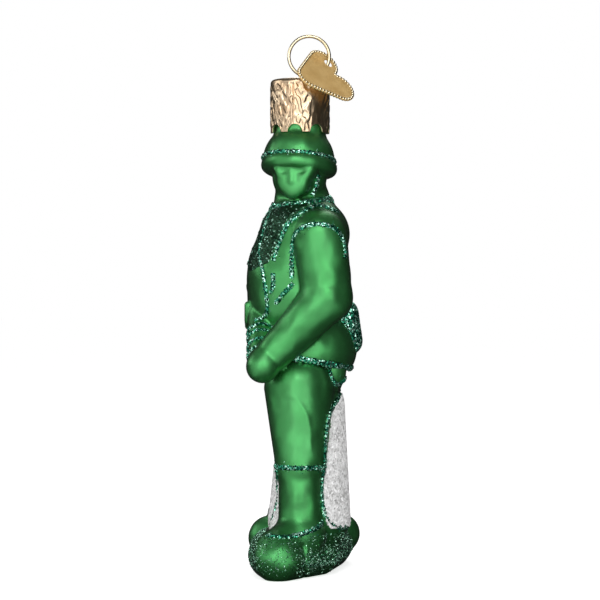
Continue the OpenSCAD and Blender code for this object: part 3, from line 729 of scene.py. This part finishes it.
def shirt_limits(q):
    """Between the two lapels, on the front of the chest, from their lower ends up to the throat."""
    x, y, z = q
    near = np.interp(z, [66, 68, 71.5, 74.1, 75.9, 77.7, 79.9], [-7.5, -6.1, -4.8, -3.7, -2.9, -1.1, 2.2])
    far = np.interp(z, [67, 71, 76, 80.8], [-6.6, -6.6, -5.6, -3.6])
    across = x * CHEST_TURN[0, 0] + y * CHEST_TURN[1, 0]
    foot = 65.5 + 0.3 * np.abs(across)
    sides = np.maximum(y - near + 0.3, far - across)
    return np.maximum(sides, np.maximum(foot - z, z - 80.2)).astype(np.float32)


lines["shirt_front"] = [coat(soldier, shirt_limits, (-10, -15, 64), (12, 3, 82), 0.14, 0.45, 0.3, 0.02)]


def strays(parts, spread=0.5):
    """Loose grains beside a line: random points of its beads pushed aside and settled on the skin."""
    points = np.concatenate([points for points, _, _ in parts])
    count = len(points) // 11
    picked = points[chance.integers(len(points), size=count)] + chance.normal(0, spread, (count, 3))
    picked = settle(soldier, picked, 6)
    return chips(picked, slope(soldier, picked), 0.17)


for name in ("helmet_band", "collar", "chin_strap", "lapel_left", "armhole_left", "armhole_right",
             "vest_front", "pocket_edge", "boot_top_left", "boot_welt_left", "leg_lines"):
    lines[name].append(strays(lines[name]))
print("grains on the ground:", len(spots))

# %% [markdown]
# ## The cap
# A crown of thin gilt metal with a scalloped lower edge slips over the glass neck. Its wall
# is one closed ring of two parameters: the angle around, and a walk up the outside, over the
# rounded shoulder and down the inside. Random waves of a few chosen lengths are pressed into
# the outside, since the stamped pattern of the real cap is only relief to the eye.

# %% Cap wall and top
CAP_R, CAP_TOP, CAP_WALL, CAP_FOOT, SHOULDER = 6.6, 107.8, 0.4, 96.0, 0.9
# RELIEF_ROOM keeps the stamped relief inside the radius, and scallops repeat every SCALLOP_STEP degrees
RELIEF_ROOM, RELIEF, LID_R, SCALLOP_R, SCALLOP_STEP, SCALLOP_START = 0.12, 0.11, 4.1, 1.7, 45, 10.5
STEM_HOLES, STEM_HOLE_R = (0.9, 3.1), 0.78
turns, rows = ((480, 100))
theta = np.linspace(0, 2 * np.pi, turns, endpoint=False)
nearest = (np.degrees(theta) + SCALLOP_START + SCALLOP_STEP / 2) % SCALLOP_STEP - SCALLOP_STEP / 2
off = CAP_R * np.radians(nearest)
edge = CAP_FOOT + np.sqrt(np.maximum(SCALLOP_R ** 2 - off ** 2, 0))
waves = np.fft.rfft2(chance.normal(size=(rows, turns)))
wave_v, wave_u = np.fft.fftfreq(rows)[:, None] * rows / 10.0, np.fft.rfftfreq(turns)[None] * turns / 41.5
length = np.hypot(wave_v * 1.7, wave_u)
waves *= np.exp(-((length - 0.7) / 0.3) ** 2)
relief = np.fft.irfft2(waves, s=(rows, turns))
relief = np.tanh(1.6 * relief / relief.std()) * RELIEF
v = np.linspace(0, 1, rows)[:, None]
fade = np.clip(v / 0.06, 0, 1) * np.clip((1 - v) / 0.05, 0, 1)
panel = np.degrees((theta + np.pi) % (2 * np.pi) - np.pi)[None]
smooth_band = 0.15 + 0.85 * np.clip(np.abs(panel - 36) / 12 - 0.9, 0, 1)
seam = -0.22 * np.exp(-((panel + 13.5) / 1.3) ** 2)
outer_r = CAP_R - RELIEF_ROOM + (relief * smooth_band + seam) * fade
outer_z = edge[None] + v * (CAP_TOP - SHOULDER - edge[None])
bend = np.linspace(0, np.pi / 2, 9)[1:, None]
bend_r = CAP_R - RELIEF_ROOM - SHOULDER + SHOULDER * np.cos(bend) + 0 * theta
bend_z = CAP_TOP - SHOULDER + SHOULDER * np.sin(bend) + 0 * theta
lid_r, lid_z = np.full((1, turns), LID_R), np.full((1, turns), CAP_TOP)
inner_r = np.concatenate([np.full((1, turns), LID_R), np.full((2, turns), CAP_R - CAP_WALL - RELIEF_ROOM)])
inner_z = np.concatenate([np.full((2, turns), CAP_TOP - CAP_WALL), edge[None]])
wall_r = np.concatenate([outer_r, bend_r, lid_r, inner_r])
wall_z = np.concatenate([outer_z, bend_z, lid_z, inner_z])
wall = np.stack([wall_r * np.cos(theta), wall_r * np.sin(theta), wall_z], -1)
wall_quads, wall_tris = tube_faces(len(wall), turns, True)


def lid(q):
    """A disc with two round holes for the hanger's stems."""
    x, y, z = q
    disc = np.maximum(np.sqrt(x * x + y * y) - 4.4, np.abs(z - CAP_TOP + 0.215) - 0.185)
    near, far = (np.sqrt(x * x + (y - place) ** 2) for place in STEM_HOLES)
    hole = np.minimum(near, far) - STEM_HOLE_R
    return np.maximum(disc, -hole)


lid_points, lid_quads = net(lid, (-5, -5, 107), (5, 5, 108.2), 0.2)
lid_points = settle(lid, lid_points, 2, 0.1)
cap_parts = join([(tube_points(wall, True), wall_quads, wall_tris),
                  (lid_points, lid_quads, np.zeros((0, 3), int))])
cap = add_mesh("gilt_cap", *cap_parts)
print("cap wall grid:", wall.shape)

# %% [markdown]
# ## The tag
# The heart-shaped tag is stamped sheet with a rope-like raised edge. The edge is a row of
# round beads on the heart's outline, laid in the tag's own plane and then placed like the tag.
# In the photograph the heart's tip is full and round, so it is fuller here than in the CAD part.

# %% Tag sheet and the beads on its edge
LOBE_R, LOBE_OFFSET, TIP_DROP, TIP_R, TAG_T = 3.75, 3.5, 7.0, 3.1, 0.36
TAG_HOLE, TAG_HOLE_R = np.array([-3.4, 1.512]), 1.05


def tag_place(flat):
    """Places in the tag's plane, with a height above its middle, moved to where the tag hangs."""
    local = flat - np.array([TAG_HOLE[0], TAG_HOLE[1], 0.0])
    return local @ (turned(0, 53, 42) @ turned(0, 0, 8)).T + np.array([0, 6.1816, 111.4387])


def heart_outline(inset, count):
    """The heart's outline drawn in by an inset: arcs for lobes and tip, joined straight, evenly spaced."""
    lobe = np.array([LOBE_OFFSET, 0.0])
    tip = np.array([0.0, -TIP_DROP])
    toward = lobe - tip
    reach = np.linalg.norm(toward)
    tilt = math.atan2(toward[1], toward[0]) - math.asin((LOBE_R - TIP_R) / reach) - math.pi / 2
    notch = math.acos(LOBE_OFFSET / LOBE_R)
    sweep = np.linspace(tilt, math.pi - notch, 40)
    arc = lobe + (LOBE_R - inset) * np.column_stack([np.cos(sweep), np.sin(sweep)])
    foot = np.linspace(-math.pi / 2, tilt, 12)
    point = tip + (TIP_R - inset) * np.column_stack([np.cos(foot), np.sin(foot)])
    half = np.concatenate([point, arc])
    half = half[half[:, 0] >= 0]
    return evenly(np.concatenate([half, half[::-1] * [-1, 1]]), 44 / count, closed=True)


def ball_grid(across, up):
    """A unit ball as rows of a grid: latitude by longitude, without the poles."""
    lat = np.linspace(-np.pi / 2, np.pi / 2, up + 2)[1:-1, None]
    lon = np.linspace(0, 2 * np.pi, across, endpoint=False)[None]
    return np.stack([np.cos(lat) * np.cos(lon), np.cos(lat) * np.sin(lon), np.sin(lat) + 0 * lon], -1)


def tag_sheet(q):
    """The heart, two tapered rods that meet in the tip, cut to the sheet's thickness, with its hole."""
    x, y, z = q
    flat, tip = (x, y, 0 * z), np.array([0, -TIP_DROP, 0])
    heart = np.minimum(rod(flat, np.array([LOBE_OFFSET, 0, 0]), LOBE_R, tip, TIP_R),
                       rod(flat, np.array([-LOBE_OFFSET, 0, 0]), LOBE_R, tip, TIP_R))
    hole = np.sqrt((x - TAG_HOLE[0]) ** 2 + (y - TAG_HOLE[1]) ** 2) - TAG_HOLE_R
    return np.maximum(np.maximum(heart, -hole), np.abs(z) - TAG_T / 2)


sheet, sheet_quads = net(tag_sheet, (-8, -11, -0.45), (8, 5, 0.45), 0.15)
tag = add_mesh("gilt_tag", tag_place(settle(tag_sheet, sheet, 3, 0.1)), sheet_quads)
rim = heart_outline(0.36, 60)
ball = ball_grid(8, 4)
ball_quads, ball_tris = tube_faces(4, 8, False)
ball_points = np.concatenate([ball.reshape(-1, 3), [[0, 0, -1.0], [0, 0, 1.0]]])
beads = []
for place in rim:
    flat = ball_points * [0.4, 0.4, 0.46] + np.array([place[0], place[1], 0.0])
    beads.append((tag_place(flat), ball_quads, ball_tris))
tag_rim = add_mesh("tag_rope_edge", *join(beads))
print("rim beads:", len(rim))

# %% [markdown]
# ## Materials
# The glass is silvered inside and lacquered, so it shines like a satin, tinted mirror under a
# thin clear coat. Glitter is many tiny mirrors, each tilted its own way: cells of a third to
# half a millimetre get their own colour and their own tilt. The metal parts are gilt.


# %% Material helpers
def set_inputs(tree, node, values):
    """A node's inputs from a table of constants and sockets."""
    for key, value in values.items():
        if isinstance(value, bpy.types.NodeSocket):
            tree.links.new(value, node.inputs[key])
        else:
            node.inputs[key].default_value = value


def adder(tree):
    """A function that adds a node to a tree, sets its constants and links the sockets given."""
    def add(kind, inputs=None, **settings):
        node = tree.nodes.new(kind)
        for key, value in settings.items():
            setattr(node, key, value)
        set_inputs(tree, node, inputs or {})
        return node

    return add


def new_material(name):
    """An empty node material with a principled shader, and a function that adds linked nodes."""
    material = bpy.data.materials.new(name)
    material.use_nodes = True
    tree = material.node_tree
    return material, tree, tree.nodes["Principled BSDF"], adder(tree)


def ramp(add, factor, stops):
    """A colour ramp over a factor from (position, colour) stops."""
    node = add("ShaderNodeValToRGB", {"Fac": factor})
    elements = node.color_ramp.elements
    while len(elements) < len(stops):
        elements.new(0.5)
    for element, (position, colour) in zip(elements, stops):
        element.position = position
        element.color = (*colour, 1.0)
    return node.outputs["Color"]


def lacquer_material():
    """Green lacquer over silvered glass: a cloudy tinted mirror with painted shade on its edges, under a
    clear coat.
    """
    material, tree, shader, add = new_material("green lacquered glass")
    place = add("ShaderNodeTexCoord").outputs["Object"]
    cloud = add("ShaderNodeTexNoise", {"Vector": place, "Scale": 95.0, "Detail": 3.0})
    tone_and_edge_shade = ramp(add, cloud.outputs["Fac"], [(0.3, (0.060, 0.33, 0.090)), (0.7, (0.095, 0.44, 0.138))])
    # Painted shade: where the surface turns away from the eye, the base colour is mixed towards a dark grey
    # green.
    edge = add("ShaderNodeLayerWeight", {"Blend": 0.4}).outputs["Facing"]
    share = add("ShaderNodeMapRange", {"Value": edge, "From Min": 0.28, "From Max": 0.85, "To Max": 0.9})
    tone_and_edge_shade = add("ShaderNodeMixRGB", {"Fac": share.outputs["Result"], "Color1": tone_and_edge_shade,
                                    "Color2": (0.045, 0.075, 0.050, 1.0)}).outputs["Color"]
    gloss = add("ShaderNodeMapRange", {"Value": cloud.outputs["Fac"], "From Min": 0.3, "From Max": 0.7,
                                       "To Min": 0.42, "To Max": 0.5})
    fine = add("ShaderNodeTexNoise", {"Vector": place, "Scale": 420.0, "Detail": 2.0})
    wave = add("ShaderNodeTexNoise", {"Vector": place, "Scale": 150.0, "Detail": 1.0})
    swell = add("ShaderNodeBump", {"Height": wave.outputs["Fac"], "Strength": 0.8, "Distance": 0.0018})
    bump = add("ShaderNodeBump", {"Height": fine.outputs["Fac"], "Strength": 0.06, "Distance": 0.0004,
                                  "Normal": swell.outputs["Normal"]})
    set_inputs(tree, shader, {"Base Color": tone_and_edge_shade, "Metallic": 0.92, "Roughness": gloss.outputs["Result"],
                              "Normal": bump.outputs["Normal"], "Coat Weight": 0.2, "Coat Roughness": 0.25})
    return material


def glitter_material(name, stops, size=0.00034, tilt=0.9, roughness=0.22, metal=0.85):
    """Glued glitter: mirror cells of one size, each with a colour of the ramp and its own tilt."""
    material, tree, shader, add = new_material(name)
    place = add("ShaderNodeTexCoord").outputs["Object"]
    cells = add("ShaderNodeTexVoronoi", {"Vector": place, "Scale": 1.0 / size, "Randomness": 1.0})
    parts = add("ShaderNodeSeparateColor", {"Color": cells.outputs["Color"]})
    colour = ramp(add, parts.outputs["Red"], stops)
    middle = add("ShaderNodeVectorMath", {0: cells.outputs["Color"], 1: (0.5, 0.5, 0.5)},
                 operation="SUBTRACT")
    spread = add("ShaderNodeVectorMath", {0: middle.outputs["Vector"], "Scale": tilt}, operation="SCALE")
    own = add("ShaderNodeNewGeometry").outputs["Normal"]
    mixed = add("ShaderNodeVectorMath", {0: own, 1: spread.outputs["Vector"]}, operation="ADD")
    unit = add("ShaderNodeVectorMath", {0: mixed.outputs["Vector"]}, operation="NORMALIZE")
    set_inputs(tree, shader, {"Base Color": colour, "Metallic": metal, "Roughness": roughness,
                              "Normal": unit.outputs["Vector"]})
    return material


def metal_material(name, low, high, roughness, metal=1.0, grain=900.0, strength=0.25, distance=0.0001):
    """Gilt metal: two tones mixed by a soft noise, with a fine grain in the surface."""
    material, tree, shader, add = new_material(name)
    place = add("ShaderNodeTexCoord").outputs["Object"]
    cloud = add("ShaderNodeTexNoise", {"Vector": place, "Scale": 260.0, "Detail": 4.0})
    tone = ramp(add, cloud.outputs["Fac"], [(0.35, low), (0.65, high)])
    fine = add("ShaderNodeTexNoise", {"Vector": place, "Scale": grain, "Detail": 2.0})
    bump = add("ShaderNodeBump",
               {"Height": fine.outputs["Fac"], "Strength": strength, "Distance": distance})
    set_inputs(tree, shader, {"Base Color": tone, "Metallic": metal, "Roughness": roughness,
                              "Normal": bump.outputs["Normal"]})
    return material


# %% The materials
lacquer = lacquer_material()
green_glitter = glitter_material("green glitter", [(0.0, (0.0, 0.05, 0.03)), (0.4, (0.01, 0.2, 0.11)),
                                                   (0.7, (0.08, 0.45, 0.28)), (0.92, (0.55, 0.95, 0.78))])
DARK_GRAINS = [(0.0, (0.012, 0.042, 0.02)), (0.8, (0.02, 0.075, 0.036)), (0.93, (0.03, 0.14, 0.08)),
               (0.98, (0.5, 0.9, 0.7))]
dark_glitter = glitter_material("fine dark glitter", DARK_GRAINS, 0.0003, 0.6, 0.35)
ground_grain = glitter_material("ground grains", [(0.0, (0.01, 0.06, 0.035)), (0.45, (0.08, 0.25, 0.16)),
                                                  (0.85, (0.50, 0.88, 0.66))], 0.0003)
white_glitter = glitter_material("white glitter", [(0.0, (0.68, 0.68, 0.67)), (0.4, (0.90, 0.89, 0.89)),
                                                   (0.85, (0.98, 0.98, 0.98))], 0.00045, 0.8, 0.4, 0.12)
cap_gold = metal_material("gilt cap metal", (0.68, 0.48, 0.30), (0.87, 0.68, 0.47), 0.3)
wire_gold = metal_material("gilt wire", (0.74, 0.62, 0.40), (0.90, 0.80, 0.58), 0.22)
tag_gold = metal_material("satin gilt tag", (0.80, 0.50, 0.17), (0.98, 0.66, 0.26), 0.34, 0.35, 1400.0, 0.4)
print("materials:", [m.name for m in bpy.data.materials])

# %% [markdown]
# ## Putting the pieces on their bodies
# Every piece made here rides with the body it belongs to, so that the cap lifts and the tag
# swings with the CAD joints. The wire hanger is already right in the CAD part, so it is
# shown as it is, with its own material.

# %% Pieces and bodies
SHOWN = {"web_frost_front": white_glitter, "web_frost_back": white_glitter, "shirt_front": dark_glitter,
         "ground_glitter": ground_grain}
SLOTS = {green_glitter.name: "green_glitter", dark_glitter.name: "dark_glitter",
         ground_grain.name: "dark_glitter", white_glitter.name: "white_glitter"}


def dress(piece, material, body, slot, *nodes):
    """A piece with its material, on its body, in place of CAD nodes."""
    piece.data.materials.clear()
    piece.data.materials.append(material)
    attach(piece, body)
    if nodes:
        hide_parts(*nodes)


dress(glass, lacquer, "figure", "lacquered_glass", "glass_body")
for node, parts in lines.items():
    material = SHOWN.get(node, green_glitter)
    piece = add_mesh(node + "_line", *join(parts), smooth=False)
    dress(piece, material, "figure", SLOTS[material.name], node)
dress(cap, cap_gold, "cap", "cap_metal", "cap")
dress(tag, tag_gold, "tag", "tag_metal", "tag")
dress(tag_rim, wire_gold, "tag", "tag_metal")
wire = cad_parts["hanger"]
wire.data.materials.clear()
wire.data.materials.append(wire_gold)
print("dressed pieces:", len(lines) + 4)

# %% [markdown]
# ## Studio
# A pale floor and white surroundings, three tall softboxes around the viewing point, one above,
# and two behind for the other sides. Shiny glass shows whatever stands around it, so a pale card
# stands in front, with dark sheets below, above and at the other sides. These are seen only in
# reflections, and the dark ones draw the dark edges of the forms.


# %% Floor, flags, lights and camera
def area_light(name, place, target, size, power):
    """A rectangular softbox that looks at a target."""
    light = bpy.data.lights.new(name, "AREA")
    light.shape = "RECTANGLE"
    light.size, light.size_y = size
    light.energy = power
    lamp = bpy.data.objects.new(name, light)
    bpy.context.scene.collection.objects.link(lamp)
    from_z = np.array(place, float) - np.array(target, float)
    from_z /= np.linalg.norm(from_z)
    from_x = np.cross((0, 0, 1.0), from_z)
    from_x = from_x / np.linalg.norm(from_x) if np.linalg.norm(from_x) > 1e-6 else np.array([1.0, 0, 0])
    from_y = np.cross(from_z, from_x)
    matrix = np.eye(4)
    matrix[:3, 0], matrix[:3, 1], matrix[:3, 2], matrix[:3, 3] = from_x, from_y, from_z, place
    lamp.matrix_world = Matrix(matrix.tolist())
    lamp.visible_camera = False
    return lamp


def seen_share(add):
    """One for rays of the eye, of mirrors and through clear glass, nought for light falling on things."""
    path = add("ShaderNodeLightPath")
    eye = add("ShaderNodeMath", {0: path.outputs["Is Camera Ray"], 1: path.outputs["Is Glossy Ray"]},
              operation="MAXIMUM")
    return add("ShaderNodeMath", {0: eye.outputs[0], 1: path.outputs["Is Transmission Ray"]},
               operation="MAXIMUM").outputs[0]


def plain_stage(name, points, quads, colour, camera_strength):
    """A stage mesh whose diffuse colour is mixed with a glow that only eye and mirrors see."""
    piece = add_mesh(name, np.array(points) / MM, quads)
    material, tree, shader, add = new_material(name)
    set_inputs(tree, shader, {"Base Color": (*colour, 1.0), "Roughness": 0.9, "Specular IOR Level": 0.0})
    if camera_strength:
        glow = add("ShaderNodeMath", {0: seen_share(add), 1: camera_strength}, operation="MULTIPLY")
        set_inputs(tree, shader, {"Emission Color": (1, 1, 1, 1), "Emission Strength": glow.outputs[0]})
    piece.data.materials.append(material)
    return piece


plain_stage("pale_floor", [(-6, -6, 0), (6, -6, 0), (6, 6, 0), (-6, 6, 0)], [[0, 1, 2, 3]],
            (0.8, 0.8, 0.8), 0.72)


def standing_sheet(name, from_turn, to_turn, walk, colour, glow):
    """A sheet swept round the object through a range of degrees, along a walk of (radius, height)."""
    a = np.radians(np.linspace(from_turn, to_turn, 49))
    rows = np.stack([np.stack([r * np.cos(a), r * np.sin(a), np.full(49, h)], -1) for r, h in walk])
    index = np.arange(rows.size // 3).reshape(rows.shape[:2])
    quads = np.stack([index[:-1, :-1], index[:-1, 1:], index[1:, 1:], index[1:, :-1]], -1).reshape(-1, 4)
    sheet = plain_stage(name, rows.reshape(-1, 3), quads, colour, glow)
    sheet.visible_camera = sheet.visible_diffuse = sheet.visible_shadow = sheet.visible_transmission = False


DARK = (0.05, 0.055, 0.05)
standing_sheet("dark_cloth", 0, 360, [(0.001, 0.0001), (0.05, 0.0001)], DARK, 0.0)
standing_sheet("dark_roof", 0, 360, [(0.62, 0.40), (0.45, 0.58), (0.001, 0.62)], DARK, 0.05)
standing_sheet("dark_flags", 38, 280, [(0.05, 0.0001), (0.62, 0.0001), (0.62, 0.40)], DARK, 0.0)
standing_sheet("pale_card", -80, 38, [(0.05, 0.0001), (0.62, 0.0001), (0.62, 0.40)], (0.3, 0.3, 0.3), 0.54)

MIDDLE = (0.0, 0.0, 0.06)
lamps = [area_light("left_softbox", (0.40, -0.19, 0.10), MIDDLE, (0.16, 0.50), 0.46),
         area_light("right_softbox", (0.42, 0.16, 0.10), MIDDLE, (0.14, 0.50), 0.40),
         area_light("front_softbox", (0.57, 0.0, 0.10), MIDDLE, (0.20, 0.40), 0.24),
         area_light("top_softbox", (0.40, 0.0, 0.36), MIDDLE, (0.24, 0.14), 0.6),
         area_light("back_softbox", (-0.30, 0.06, 0.42), MIDDLE, (0.24, 0.24), 0.45),
         area_light("chest_softbox", (-0.08, -0.44, 0.26), MIDDLE, (0.24, 0.24), 0.35)]
print("lamp places:", [tuple(round(v, 2) for v in lamp.matrix_world.translation) for lamp in lamps])

world = bpy.data.worlds.new("white room")
bpy.context.scene.world = world
world.use_nodes = True
add = adder(world.node_tree)
strength = add("ShaderNodeMapRange", {"Value": seen_share(add), "To Min": 0.35, "To Max": 1.0})
set_inputs(world.node_tree, world.node_tree.nodes["Background"],
           {"Color": (1.0, 1.0, 1.0, 1.0), "Strength": strength.outputs["Result"]})

camera = bpy.data.objects.new("viewing point", bpy.data.cameras.new("viewing point"))
bpy.context.scene.collection.objects.link(camera)
camera.location = (0.5, 0.0, 0.0594)
camera.rotation_euler = (math.pi / 2, 0.0, math.pi / 2)
camera.data.lens, camera.data.sensor_width = 136.35, 36.0
camera.data.clip_start = 0.01
bpy.context.scene.camera = camera
bpy.context.scene.view_settings.view_transform = "Standard"
print("lamps:", len(lamps))
